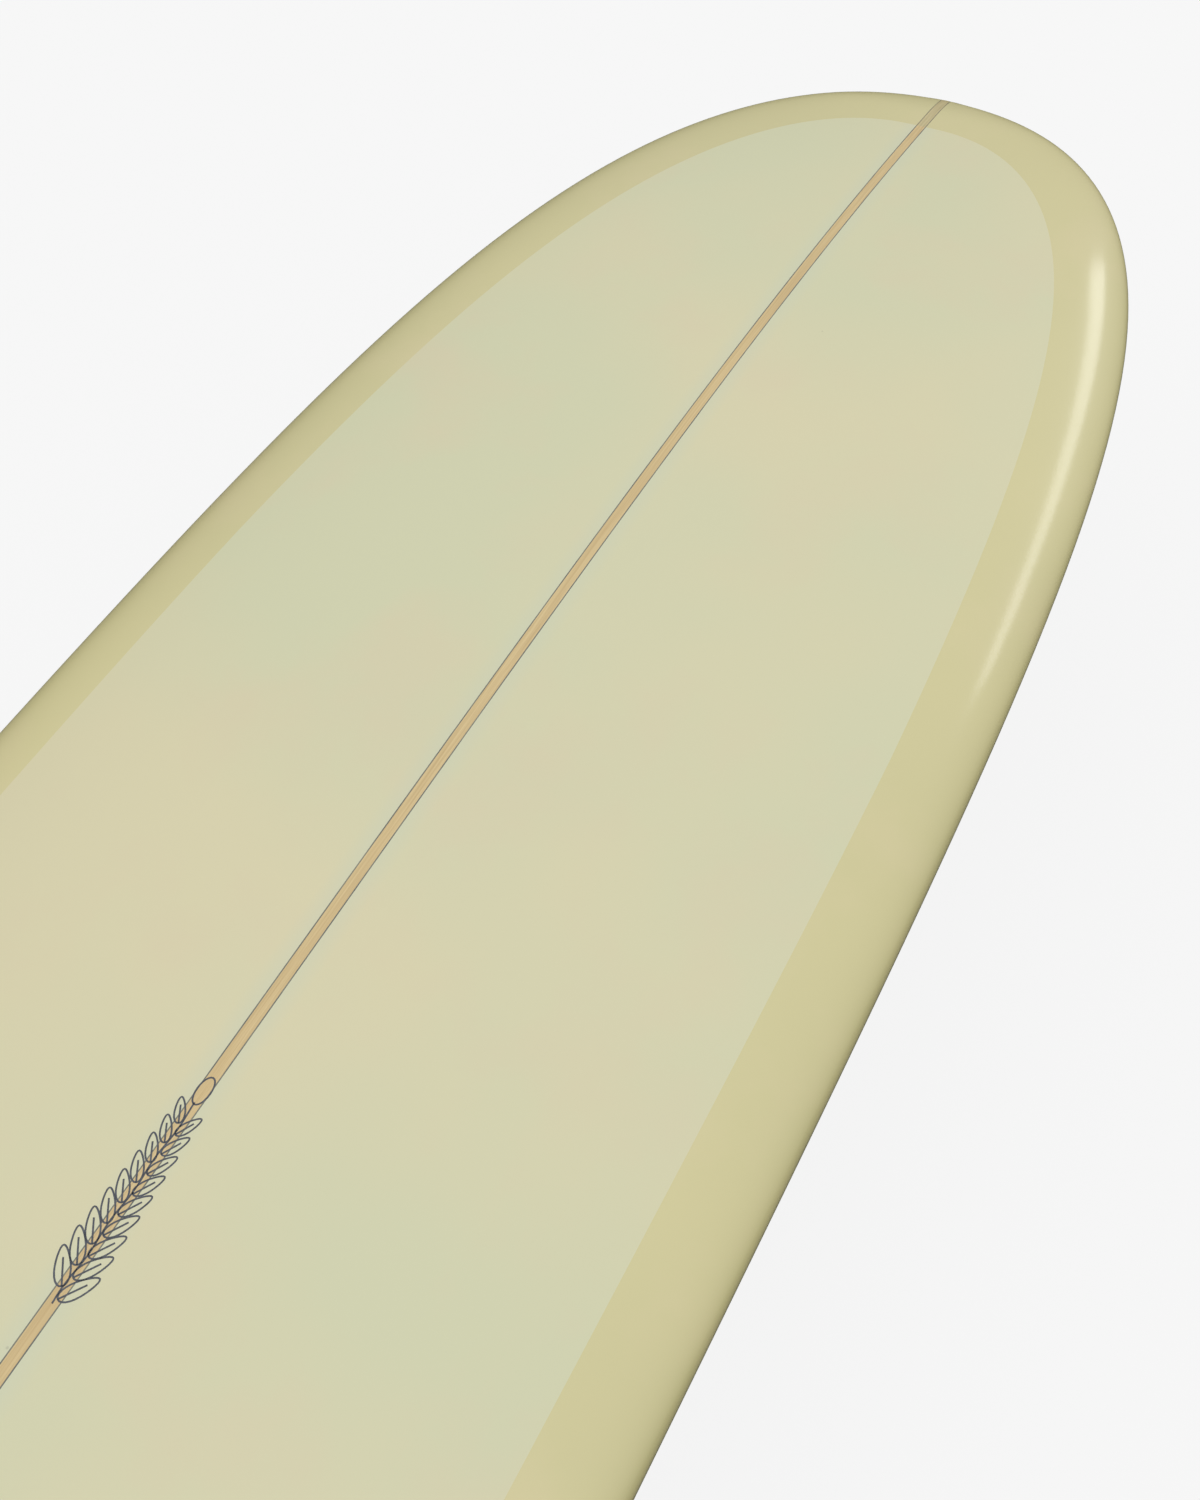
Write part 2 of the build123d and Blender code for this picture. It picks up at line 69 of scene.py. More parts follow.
# ---- Shape of the hull, as in the frame ----
WIDE_POINT = 1.640
NOSE_FULLNESS = 6.1
NOSE_ROUNDNESS = 2.12
TIP_HALF = 0.009
TAIL_HALF = 0.076
TAIL_FULLNESS = 2.5
TAIL_ROUNDNESS = 0.8
THICKNESS = 0.074
NOSE_ROCKER = 0.092
NOSE_ROCKER_RUN = 1.640
NOSE_ROCKER_POWER = 1.35
TAIL_ROCKER = 0.065
TAIL_ROCKER_RUN = 1.250
TAIL_ROCKER_POWER = 2.0
NOSE_THINNING = 0.86
NOSE_THINNING_RUN = 1.100
NOSE_THINNING_POWER = 3.0
TAIL_THINNING = 0.60
TAIL_THINNING_RUN = 1.100
TAIL_THINNING_POWER = 2.2
NOSE_EDGE = 0.036
NOSE_BLUNT = 0.004
TAIL_EDGE = 0.013
TAIL_BLUNT = 0.004
APEX = 0.55
DECK_CROWN = 2.6
BOTTOM_CROWN = 3.6

# ---- Where the colours change ----
STRINGER_HALF = 0.0035
GLUE_HALF = 0.0043
NOSE_LAP = 0.0585
RAIL_LAP = 0.049
LAP_TAPER = 0.64           # how far back the lap takes to narrow
SKIN = 0.001

# ---- Mesh density ----
STATIONS = 150
PANEL_STEPS = 12
BAND_STEPS = 12
LAP_SAMPLES = 40           # trial points each way when the outline is moved inwards

# ---- Building the skin ----
INSIDE_REACH = 0.05        # how near an end the point that faces turn away from may come
FACING = 0.6               # least agreement with the hull for a face to take its normal
NEAREST = 4                # hull points blended for one corner's normal
BOX_CUT_BELOW = 0.02
BOX_CUT_ABOVE = 0.022
PLUG_CUT = 0.01


# ---- Hull curves ----
def half_width(back):
    if back < WIDE_POINT:
        run = 1 - max(back, 0.0) / WIDE_POINT
        bulge = (1 - run ** NOSE_FULLNESS) ** (1 / NOSE_ROUNDNESS)
        return TIP_HALF + (HALF_WIDTH - TIP_HALF) * bulge
    run = 1 - max(LENGTH - back, 0.0) / (LENGTH - WIDE_POINT)
    bulge = (1 - run ** TAIL_FULLNESS) ** TAIL_ROUNDNESS
    return TAIL_HALF + (HALF_WIDTH - TAIL_HALF) * bulge


def rocker(back):
    nose = max(0.0, 1 - back / NOSE_ROCKER_RUN) ** NOSE_ROCKER_POWER
    tail = max(0.0, 1 - (LENGTH - back) / TAIL_ROCKER_RUN) ** TAIL_ROCKER_POWER
    return NOSE_ROCKER * nose + TAIL_ROCKER * tail


def foil(back):
    nose = max(0.0, 1 - back / NOSE_THINNING_RUN) ** NOSE_THINNING_POWER
    tail = max(0.0, 1 - (LENGTH - back) / TAIL_THINNING_RUN) ** TAIL_THINNING_POWER
    return THICKNESS * (1 - NOSE_THINNING * nose - TAIL_THINNING * tail)


def rounding(back):
    nose = max(0.0, 1 - (back + NOSE_BLUNT) / NOSE_EDGE)
    tail = max(0.0, 1 - (LENGTH - back + TAIL_BLUNT) / TAIL_EDGE)
    return math.sqrt((1 - nose ** 2) * (1 - tail ** 2))


def surface(back, side, deck):
    """Point of the deck or the bottom, in the frame's axes."""
    power = DECK_CROWN if deck else BOTTOM_CROWN
    share = (1 - APEX) if deck else -APEX
    across = min(1.0, abs(side) / half_width(back))
    level = BOTTOM_LEVEL + rocker(back) + APEX * foil(back)
    rise = share * foil(back) * rounding(back) * math.sqrt(1 - across ** power)
    return (NOSE_X - back, side, level + rise)


def lap_width(back):
    taper = min(1.0, max(0.0, 1 - (back - NOSE_LAP) / LAP_TAPER))
    return RAIL_LAP + (NOSE_LAP - RAIL_LAP) * taper


def lap_line(back):
    """Half width of the deck inside the lap."""
    gap = lap_width(back)
    samples = [gap * (step / LAP_SAMPLES - 1) for step in range(2 * LAP_SAMPLES + 1)]
    return min(half_width(back + near) - math.sqrt(gap ** 2 - near ** 2) for near in samples)


# ---- The hull as one set of faces, each named for the piece it belongs to ----
class Hull:
    def __init__(self):
        self.index = {}
        self.points = []
        self.faces = {}

    def vertex(self, point):
        key = tuple(round(value, 7) for value in point)
        if key not in self.index:
            self.index[key] = len(self.points)
            self.points.append(Vector(point))
        return self.index[key]

    def face(self, piece, corners):
        """Adds a face, turned so that it looks out of the hull."""
        ring = []
        for corner in corners:
            number = self.vertex(corner)
            if number not in ring:
                ring.append(number)
        if len(ring) < 3:
            return
        middle = sum((self.points[number] for number in ring), Vector()) / len(ring)
        normal = self.normal_of(ring)
        back = NOSE_X - middle.x
        inside_x = NOSE_X - min(max(back, INSIDE_REACH), LENGTH - INSIDE_REACH)
        inside = Vector((inside_x, 0.0, BOTTOM_LEVEL + rocker(back) + APEX * foil(back)))
        spread = Vector((1.0, min(1.0, TAIL_HALF / max(abs(middle.y), 1e-6)), 1.0))
        away = (middle - inside) * spread
        if normal.dot(away) < 0:
            ring.reverse()
        self.faces.setdefault(piece, []).append(ring)

    def normal_of(self, ring):
        first, *rest = (self.points[number] for number in ring)
        return sum(((a - first).cross(b - first) for a, b in zip(rest, rest[1:])), Vector())

    def normals(self):
        total = [Vector() for _ in self.points]
        for rings in self.faces.values():
            for ring in rings:
                normal = self.normal_of(ring)
                for number in ring:
                    total[number] += normal
        return [normal.normalized() for normal in total]


def half_columns(edge):
    """Distances from the centre line: stringer, glue line, then evenly out to the edge."""
    span = edge - GLUE_HALF
    steps = [GLUE_HALF + span * step / PANEL_STEPS for step in range(PANEL_STEPS + 1)]
    return [0.0, STRINGER_HALF] + steps


def columns(edge):
    half = half_columns(edge)
    return [-side for side in reversed(half[1:])] + half


def column_kind(first, second):
    middle = (first + second) / 2
    if abs(middle) < STRINGER_HALF:
        return "stringer"
    side = "left" if middle > 0 else "right"
    if abs(middle) < GLUE_HALF:
        return "glue_" + side
    return "panel_" + side


def piece_name(kind, lapped):
    if not lapped:
        return kind + "_deck"
    return "tinted_skin" if kind.startswith("panel") else kind + "_under_tint"


def outline_backs():
    for step in range(STATIONS + 1):
        share = 2 * step / STATIONS - 1
        reach = math.copysign(1 - (1 - abs(share)) ** 2, share)
        yield LENGTH / 2 * (1 + reach)


def build_hull():
    hull = Hull()
    outer = list(outline_backs())
    inner = [NOSE_LAP + (LENGTH - NOSE_LAP - RAIL_LAP) * back / LENGTH for back in outer]
    inner_edge = [lap_line(back) for back in inner]
    fractions = [1 - (1 - step / BAND_STEPS) ** 2 for step in range(BAND_STEPS + 1)]

    rows = []
    for fraction in reversed(fractions[1:]):
        edge = inner_edge[0] + (TIP_HALF - inner_edge[0]) * fraction
        rows.append((inner[0] * (1 - fraction), edge, True))
    for back, edge in zip(inner, inner_edge):
        rows.append((back, edge, False))
    for fraction in fractions[1:]:
        edge = inner_edge[-1] + (TAIL_HALF - inner_edge[-1]) * fraction
        rows.append((inner[-1] + (LENGTH - inner[-1]) * fraction, edge, True))

    for deck in (True, False):
        for (back_a, edge_a, band_a), (back_b, edge_b, band_b) in zip(rows, rows[1:]):
            sides_a = columns(edge_a)
            sides_b = columns(edge_b)
            lapped = band_a or band_b or not deck
            for a, b, c, d in zip(sides_a, sides_a[1:], sides_b, sides_b[1:]):
                name = piece_name(column_kind(a, b), lapped)
                corners = [
                    surface(back_a, a, deck),
                    surface(back_a, b, deck),
                    surface(back_b, d, deck),
                    surface(back_b, c, deck),
                ]
                hull.face(name, corners)
        for side in (1, -1):
            for step in range(STATIONS):
                for low, high in zip(fractions, fractions[1:]):
                    corners = []
                    ring = ((step, low), (step, high), (step + 1, high), (step + 1, low))
                    for k, fraction in ring:
                        back = inner[k] + (outer[k] - inner[k]) * fraction
                        edge = inner_edge[k] + (half_width(outer[k]) - inner_edge[k]) * fraction
                        corners.append(surface(back, side * edge, deck))
                    hull.face("tinted_skin", corners)

    for back, edge in ((0.0, TIP_HALF), (LENGTH, TAIL_HALF)):
        sides = columns(edge)
        for a, b in zip(sides, sides[1:]):
            name = piece_name(column_kind(a, b), True)
            corners = [
                surface(back, a, True),
                surface(back, b, True),
                surface(back, b, False),
                surface(back, a, False),
            ]
            hull.face(name, corners)
    return hull


# ---- From faces to closed pieces ----
def shell_mesh(name, hull, normals, rings, thickness):
    """A closed shell: the hull's faces, the same faces moved inwards, and a rim between."""
    numbers = sorted({number for ring in rings for number in ring})
    place = {number: k for k, number in enumerate(numbers)}
    count = len(numbers)
    points = [hull.points[number] for number in numbers]
    points += [hull.points[number] - normals[number] * thickness for number in numbers]
    faces = [[place[number] for number in ring] for ring in rings]
    edges = {(a, b) for ring in faces for a, b in zip(ring, ring[1:] + ring[:1])}
    faces += [[k + count for k in reversed(ring)] for ring in list(faces)]
    faces += [[b, a, a + count, b + count] for a, b in sorted(edges) if (b, a) not in edges]
    mesh = bpy.data.meshes.new(name)
    mesh.from_pydata([tuple(point) for point in points], [], faces)
    mesh.update()
    return mesh


def new_object(name, mesh):
    piece = bpy.data.objects.new(name, mesh)
    bpy.context.scene.collection.objects.link(piece)
    return piece


def cut_away(piece, cutter):
    """Subtracts the cutter from the piece and applies the result."""
    modifier = piece.modifiers.new("cut", "BOOLEAN")
    modifier.operation = "DIFFERENCE"
    modifier.solver = "EXACT"
    modifier.object = cutter
    graph = bpy.context.evaluated_depsgraph_get()
    result = bpy.data.meshes.new_from_object(piece.evaluated_get(graph))
    piece.modifiers.clear()
    old = piece.data
    piece.data = result
    bpy.data.meshes.remove(old)


def smooth_from_hull(piece, tree, normals):
    """Gives every outer corner the hull's own normal, so that no seam shows between pieces."""
    mesh = piece.data
    hull_normal = []
    for vertex in mesh.vertices:
        total = Vector()
        for _, number, distance in tree.find_n(vertex.co, NEAREST):
            total += normals[number] / (distance + 1e-7)
        hull_normal.append(total.normalized())
    corners = []
    for polygon in mesh.polygons:
        polygon.use_smooth = True
        for number in polygon.vertices:
            facing = polygon.normal.dot(hull_normal[number])
            if facing > FACING:
                corners.append(tuple(hull_normal[number]))
            elif facing < -FACING:
                corners.append(tuple(-hull_normal[number]))
            else:
                corners.append(tuple(polygon.normal))
    mesh.normals_split_custom_set(corners)


def prism(name, outline, low, high):
    """Upright closed prism over a plan outline given counter-clockwise."""
    count = len(outline)
    points = [(x, y, low) for x, y in outline] + [(x, y, high) for x, y in outline]
    faces = [list(reversed(range(count))), list(range(count, 2 * count))]
    faces += [[k, (k + 1) % count, (k + 1) % count + count, k + count] for k in range(count)]
    mesh = bpy.data.meshes.new(name)
    mesh.from_pydata(points, [], faces)
    mesh.update()
    return new_object(name, mesh)


def slot_outline(low, high, steps=24):
    """Plan outline with round ends that fills the box between two corners."""
    radius = (high[1] - low[1]) / 2
    middle = (high[1] + low[1]) / 2
    points = []
    for step in range(steps + 1):
        angle = -math.pi / 2 + math.pi * step / steps
        along = high[0] - radius + radius * math.cos(angle)
        points.append((along, middle + radius * math.sin(angle)))
    for step in range(steps + 1):
        angle = math.pi / 2 + math.pi * step / steps
        along = low[0] + radius + radius * math.cos(angle)
        points.append((along, middle + radius * math.sin(angle)))
    return points


def circle_outline(centre, radius, steps=64):
    turns = [2 * math.pi * step / steps for step in range(steps)]
    x, y = centre
    return [(x + radius * math.cos(turn), y + radius * math.sin(turn)) for turn in turns]


# ---- Materials ----
def linear(red, green, blue):
    """Scene-linear colour, with alpha, of an eight-bit screen colour."""
    values = []
    for value in (red / 255, green / 255, blue / 255):
        values.append(value / 12.92 if value <= 0.04045 else ((value + 0.055) / 1.055) ** 2.4)
    return (*values, 1.0)


class Material:
    """A node material with a few short ways to add what this board's finishes share."""

    def __init__(self, name, roughness=0.5, coat=0.0, coat_roughness=0.03, metallic=0.0):
        self.material = bpy.data.materials.new(name)
        self.material.use_nodes = True
        self.nodes = self.material.node_tree.nodes
        self.links = self.material.node_tree.links
        self.shader = self.nodes["Principled BSDF"]
        self.shader.inputs["Roughness"].default_value = roughness
        self.shader.inputs["Metallic"].default_value = metallic
        self.shader.inputs["Coat Weight"].default_value = coat
        self.shader.inputs["Coat Roughness"].default_value = coat_roughness
        self.place = self.nodes.new("ShaderNodeTexCoord").outputs["Object"]

    def link(self, source, target):
        self.links.new(source, target)

    def stretch(self, x, y, z):
        node = self.nodes.new("ShaderNodeMapping")
        node.inputs["Scale"].default_value = (x, y, z)
        self.link(self.place, node.inputs["Vector"])
        return node.outputs["Vector"]

    def noise(self, scale, detail=4.0, roughness=0.5, vector=None):
        node = self.nodes.new("ShaderNodeTexNoise")
        node.inputs["Scale"].default_value = scale
        node.inputs["Detail"].default_value = detail
        node.inputs["Roughness"].default_value = roughness
        self.link(vector or self.place, node.inputs["Vector"])
        return node.outputs["Fac"]

    def spread(self, value, low, high, out_low=0.0, out_high=1.0):
        """Maps a value's range onto another, held at both ends."""
        node = self.nodes.new("ShaderNodeMapRange")
        node.inputs["From Min"].default_value = low
        node.inputs["From Max"].default_value = high
        node.inputs["To Min"].default_value = out_low
        node.inputs["To Max"].default_value = out_high
        self.link(value, node.inputs["Value"])
        return node.outputs["Result"]

    def calculate(self, operation, first, second):
        node = self.nodes.new("ShaderNodeMath")
        node.operation = operation
        for socket, value in zip(node.inputs, (first, second)):
            if isinstance(value, (int, float)):
                socket.default_value = value
            else:
                self.link(value, socket)
        return node.outputs["Value"]

    def mix(self, factor, first, second):
        node = self.nodes.new("ShaderNodeMix")
        node.data_type = "RGBA"
        sockets = (node.inputs["Factor"], node.inputs[6], node.inputs[7])
        for socket, value in zip(sockets, (factor, first, second)):
            if isinstance(value, (int, float, tuple)):
                socket.default_value = value
            else:
                self.link(value, socket)
        return node.outputs[2]

    def axis(self, name):
        node = self.nodes.new("ShaderNodeSeparateXYZ")
        self.link(self.place, node.inputs["Vector"])
        return node.outputs[name]

    def colour(self, source):
        self.link(source, self.shader.inputs["Base Color"])

    def rough(self, source):
        self.link(source, self.shader.inputs["Roughness"])

    def bump(self, height, distance, strength=1.0, coat=False):
        node = self.nodes.new("ShaderNodeBump")
        node.inputs["Strength"].default_value = strength
        node.inputs["Distance"].default_value = distance
        self.link(height, node.inputs["Height"])
        self.link(node.outputs["Normal"], self.shader.inputs["Coat Normal" if coat else "Normal"])

    def weave(self, pitch):
        """Plain weave seen through the resin: two crossed sets of soft ridges."""
        turns = 2 * math.pi / pitch
        across = self.calculate("SINE", self.calculate("MULTIPLY", self.axis("Y"), turns), 0.0)
        along = self.calculate("SINE", self.calculate("MULTIPLY", self.axis("X"), turns), 0.0)
        return self.calculate("MULTIPLY", across, along)


def mottled(material, light, dark, patch, patch_amount):
    """Slow drifts of colour over the glassed foam, with a finer grain over them."""
    drift = material.spread(material.noise(2.6, 3.0, 0.55), 0.38, 0.62)
    base = material.mix(drift, light, dark)
    patches = material.spread(material.noise(7.0, 4.0, 0.6), 0.5, 0.68, 0.0, patch_amount)
    base = material.mix(patches, base, patch)
    fine = material.spread(material.noise(900.0, 2.0, 0.6), 0.3, 0.7, 0.0, 0.06)
    return material.mix(fine, base, dark)


def add_specks(material, base, ink):
    """A few tiny dark specks caught under the glass."""
    spots = material.nodes.new("ShaderNodeTexVoronoi")
    spots.inputs["Scale"].default_value = 16.0
    material.link(material.place, spots.inputs["Vector"])
    near = material.spread(spots.outputs["Distance"], 0.010, 0.018, 1.0, 0.0)
    rare = material.spread(material.noise(3.0, 0.0), 0.60, 0.66)
    return material.mix(material.calculate("MULTIPLY", near, rare), base, ink)


WEAVE_PITCH = 0.0016
HALO_REACH = 0.012         # how far the foam beside the stringer is tinted


def deck_glass():
    """Clear-glassed foam inside the laps."""
    material = Material("deck_glass", roughness=0.45, coat=0.6, coat_roughness=0.06)
    light = linear(212, 205, 166)
    base = mottled(material, light, linear(204, 205, 168), linear(212, 200, 165), 0.5)
    base = add_specks(material, base, linear(120, 110, 86))
    aside = material.calculate("ABSOLUTE", material.axis("Y"), 0.0)
    halo = material.spread(aside, GLUE_HALF, GLUE_HALF + HALO_REACH, 0.45, 0.0)
    base = material.mix(halo, base, linear(196, 203, 178))
    material.colour(base)
    material.bump(material.weave(WEAVE_PITCH), 0.00001, 0.3)
    material.bump(material.noise(9.0, 2.0), 0.0006, 0.25, coat=True)
    return material.material


def tinted_glass():
    """Bottom, rails and laps under tinted resin."""
    material = Material("tinted_glass", roughness=0.4, coat=0.9, coat_roughness=0.12)
    light = linear(206, 198, 143)
    base = mottled(material, light, linear(201, 194, 140), linear(210, 198, 150), 0.5)
    material.colour(add_specks(material, base, linear(120, 108, 70)))
    material.bump(material.weave(WEAVE_PITCH), 0.00001, 0.3)
    material.bump(material.noise(7.0, 2.0), 0.0006, 0.25, coat=True)
    return material.material


def wood(name, pale, dark, coat=0.6):
    """Long straight grain along the board."""
    material = Material(name, roughness=0.45, coat=coat, coat_roughness=0.06)
    grain = material.noise(1.0, 6.0, 0.65, material.stretch(6.0, 900.0, 260.0))
    base = material.mix(material.spread(grain, 0.35, 0.7), pale, dark)
    pores = material.noise(1.0, 2.0, 0.5, material.stretch(45.0, 2600.0, 900.0))
    base = material.mix(material.spread(pores, 0.62, 0.72, 0.0, 0.45), base, dark)
    drift = material.noise(4.0, 2.0)
    base = material.mix(material.spread(drift, 0.4, 0.65, 0.0, 0.3), base, dark)
    material.colour(base)
    material.bump(grain, 0.00003, 0.4)
    return material.material


def glue(name, pale, dark):
    material = Material(name, roughness=0.4, coat=0.6)
    lumps = material.noise(1.0, 3.0, 0.6, material.stretch(60.0, 400.0, 400.0))
    material.colour(material.mix(material.spread(lumps, 0.35, 0.65), pale, dark))
    return material.material


def ink():
    material = Material("emblem_ink", roughness=0.35, coat=0.5)
    wear = material.noise(500.0, 3.0)
    worn = material.spread(wear, 0.45, 0.7)
    material.colour(material.mix(worn, linear(44, 50, 62), linear(70, 76, 86)))
    return material.material


def foam():
    material = Material("foam", roughness=0.9)
    cells = material.nodes.new("ShaderNodeTexVoronoi")
    cells.inputs["Scale"].default_value = 900.0
    material.link(material.place, cells.inputs["Vector"])
    shade = material.spread(cells.outputs["Distance"], 0.0, 0.7)
    material.colour(material.mix(shade, linear(246, 243, 228), linear(232, 228, 208)))
    material.bump(cells.outputs["Distance"], 0.0003, 0.4)
    return material.material


def moulded(name, pale, dark, roughness=0.45):
    """Moulded plastic with a fine, slightly uneven surface."""
    material = Material(name, roughness=roughness)
    cloud = material.noise(40.0, 4.0)
    material.colour(material.mix(material.spread(cloud, 0.35, 0.65), pale, dark))
    grain = material.noise(2500.0, 2.0)
    material.rough(material.spread(grain, 0.3, 0.7, roughness - 0.08, roughness + 0.1))
    material.bump(grain, 0.00004, 0.4)
    return material.material


def resin():
    material = Material("resin", roughness=0.2, coat=0.5)
    cloud = material.noise(120.0, 4.0)
    shade = material.spread(cloud, 0.35, 0.65)
    material.colour(material.mix(shade, linear(222, 214, 176), linear(206, 196, 154)))
    material.bump(material.noise(300.0, 2.0), 0.0001, 0.3)
    return material.material


def fin_glass():
    """Layered cloth laid up in dark resin, sanded and polished."""
    material = Material("fin_glass", roughness=0.25, coat=0.8, coat_roughness=0.04)
    bands = material.noise(1.0, 5.0, 0.6, material.stretch(30.0, 900.0, 60.0))
    layers = material.spread(bands, 0.35, 0.7)
    base = material.mix(layers, linear(46, 56, 58), linear(70, 82, 80))
    weave = material.nodes.new("ShaderNodeTexWave")
    weave.inputs["Scale"].default_value = 180.0
    weave.inputs["Distortion"].default_value = 1.5
    material.link(material.place, weave.inputs["Vector"])
    threads = material.spread(weave.outputs["Fac"], 0.2, 0.9, 0.0, 0.18)
    base = material.mix(threads, base, linear(96, 106, 100))
    material.colour(base)
    material.bump(weave.outputs["Fac"], 0.00002, 0.3)
    return material.material


def metal(name, pale, dark, roughness):
    """Turned or drawn metal with fine scratches along it."""
    material = Material(name, roughness=roughness, metallic=1.0)
    scratches = material.noise(1.0, 4.0, 0.6, material.stretch(400.0, 3000.0, 400.0))
    material.colour(material.mix(material.spread(scratches, 0.35, 0.7), pale, dark))
    material.rough(material.spread(scratches, 0.3, 0.7, roughness - 0.06, roughness + 0.12))
    material.bump(scratches, 0.00002, 0.3)
    return material.material


wood_clear = wood("wood_clear", linear(214, 190, 136), linear(190, 162, 108))
wood_tinted = wood("wood_tinted", linear(200, 186, 136), linear(178, 163, 112), coat=0.8)
glue_clear = glue("glue_clear", linear(118, 118, 100), linear(84, 88, 80))
glue_tinted = glue("glue_tinted", linear(140, 132, 96), linear(112, 106, 80))
steel = metal("steel", linear(200, 200, 198), linear(150, 150, 150), 0.28)
brass = metal("brass", linear(214, 184, 110), linear(176, 144, 80), 0.3)
foam_material = foam()
resin_material = resin()
box_plastic = moulded("box_plastic", linear(228, 227, 220), linear(214, 212, 203))
plug_plastic = moulded("plug_plastic", linear(40, 40, 42), linear(28, 28, 30))

NODE_MATERIALS = {
    "foam_blank_left": foam_material,
    "foam_blank_right": foam_material,
    "stringer": wood_clear,
    "glue_line_left": glue_clear,
    "glue_line_right": glue_clear,
    "fin_box": box_plastic,
    "fin_box_resin_bed": resin_material,
    "fin": fin_glass(),
    "fin_pin": steel,
    "fin_screw": steel,
    "fin_plate": brass,
    "leash_plug_cup": plug_plastic,
    "leash_plug_bar": steel,
    "leash_plug_resin_bed": resin_material,
}
for node, material in NODE_MATERIALS.items():
    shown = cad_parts[node]
    shown.data.materials.clear()
    shown.data.materials.append(material)

# ---- Skin pieces ----
deck_material = deck_glass()
tint_material = tinted_glass()
SKIN_PIECES = {
    "tinted_skin": (tint_material, "tinted_glass"),
    "panel_left_deck": (deck_material, "clear_glass"),
    "panel_right_deck": (deck_material, "clear_glass"),
    "stringer_deck": (wood_clear, "stringer_wood"),
    "stringer_under_tint": (wood_tinted, "stringer_wood"),
    "glue_left_deck": (glue_clear, "glue"),
    "glue_right_deck": (glue_clear, "glue"),
    "glue_left_under_tint": (glue_tinted, "glue"),
    "glue_right_under_tint": (glue_tinted, "glue"),
}
hull = build_hull()
hull_normals = hull.normals()
tree = kdtree.KDTree(len(hull.points))
for number, point in enumerate(hull.points):
    tree.insert(point, number)
tree.balance()

bed_low, bed_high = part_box("fin_box_resin_bed")
box_outline = slot_outline(bed_low, bed_high)
box_cutter = prism("box_cutter", box_outline, bed_low[2] - BOX_CUT_BELOW, bed_low[2] + BOX_CUT_ABOVE)
plug_low, plug_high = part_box("leash_plug_resin_bed")
plug_centre = ((plug_low[0] + plug_high[0]) / 2, (plug_low[1] + plug_high[1]) / 2)
plug_radius = (plug_high[1] - plug_low[1]) / 2
plug_outline = circle_outline(plug_centre, plug_radius)
plug_cutter = prism("plug_cutter", plug_outline, plug_high[2] - PLUG_CUT, plug_high[2] + PLUG_CUT)

for name, (material, slot) in SKIN_PIECES.items():
    mesh = shell_mesh(name, hull, hull_normals, hull.faces[name], SKIN)
    piece = new_object(name, mesh)
    if name == "tinted_skin" or name.endswith("under_tint"):
        cut_away(piece, box_cutter)
    if name == "panel_left_deck":
        cut_away(piece, plug_cutter)
    smooth_from_hull(piece, tree, hull_normals)
    piece.data.materials.clear()
    piece.data.materials.append(material)
    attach(piece, "board")
for cutter in (box_cutter, plug_cutter):
    bpy.data.objects.remove(cutter)
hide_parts("bottom_lamination", "bottom_gloss_coat", "fin_box_patch")
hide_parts("deck_lamination", "deck_patch")


# ---- Emblem: a line-drawn leaf spray along the stringer ----
emblem_low, emblem_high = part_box("deck_emblem")
EMBLEM_MIDDLE = (emblem_low[0] + emblem_high[0]) / 2
EMBLEM_HALF = (emblem_high[0] - emblem_low[0]) / 2
EMBLEM_REACH = (emblem_high[1] - emblem_low[1]) / 2
LINE_HALF = 0.0005
LINE_PROUD = 0.00006
LINE_SUNK = 0.0002
LEAF_PAIRS = 9
LEAF_STEPS = 24
LEAF_WIDTH = 0.24          # as a share of the leaf's length
LEAF_NARROWING = 0.45
LEAF_GAP = 0.0012
LEAF_STAGGER = 0.003
SPINE_STEPS = 40
SPINE_SHARE = 0.8
SPINE_WAVE = 0.0006
BUD_SHARE = 0.9
BUD_LENGTH = 0.0085
BUD_WIDTH = 0.0042
BUD_STEPS = 24


def on_deck(along, across, lift):
    """Point above the deck, from the emblem's middle: along to the nose, across to the left."""
    back = NOSE_X - (EMBLEM_MIDDLE + along)
    x, y, z = surface(back, across, True)
    return (x, y, z + lift)


def add_line(points, faces, path, closed=False):
    """A flat drawn line with square edges, as a closed strip along the path."""
    count = len(path)
    base = len(points)
    for k, (along, across) in enumerate(path):
        before = path[k - 1] if closed or k else path[k]
        after = path[(k + 1) % count] if closed or k < count - 1 else path[k]
        direction = Vector((after[0] - before[0], after[1] - before[1])).normalized()
        offset = Vector((-direction.y, direction.x)) * LINE_HALF
        for sign, lift in ((1, LINE_PROUD), (-1, LINE_PROUD), (-1, -LINE_SUNK), (1, -LINE_SUNK)):
            points.append(on_deck(along + sign * offset.x, across + sign * offset.y, lift))
    for k in range(count if closed else count - 1):
        here = base + 4 * k
        there = base + 4 * ((k + 1) % count)
        for corner in range(4):
            after = (corner + 1) % 4
            faces.append([here + corner, there + corner, there + after, here + after])
    if not closed:
        faces.append([base, base + 1, base + 2, base + 3])
        end = base + 4 * (count - 1)
        faces.append([end + 3, end + 2, end + 1, end])


def leaf_path(root, length, lean, side, steps=LEAF_STEPS):
    """Outline of one leaf that springs from the spine and leans towards the nose."""
    path = []
    for step in range(steps):
        turn = 2 * math.pi * step / steps
        reach = (1 - math.cos(turn)) / 2
        width = LEAF_WIDTH * length * math.sin(turn) * (1 - LEAF_NARROWING * reach)
        along = reach * length * math.cos(lean) + width * math.sin(lean)
        across = reach * length * math.sin(lean) - width * math.cos(lean)
        path.append((root + along, side * (LEAF_GAP + across)))
    return path


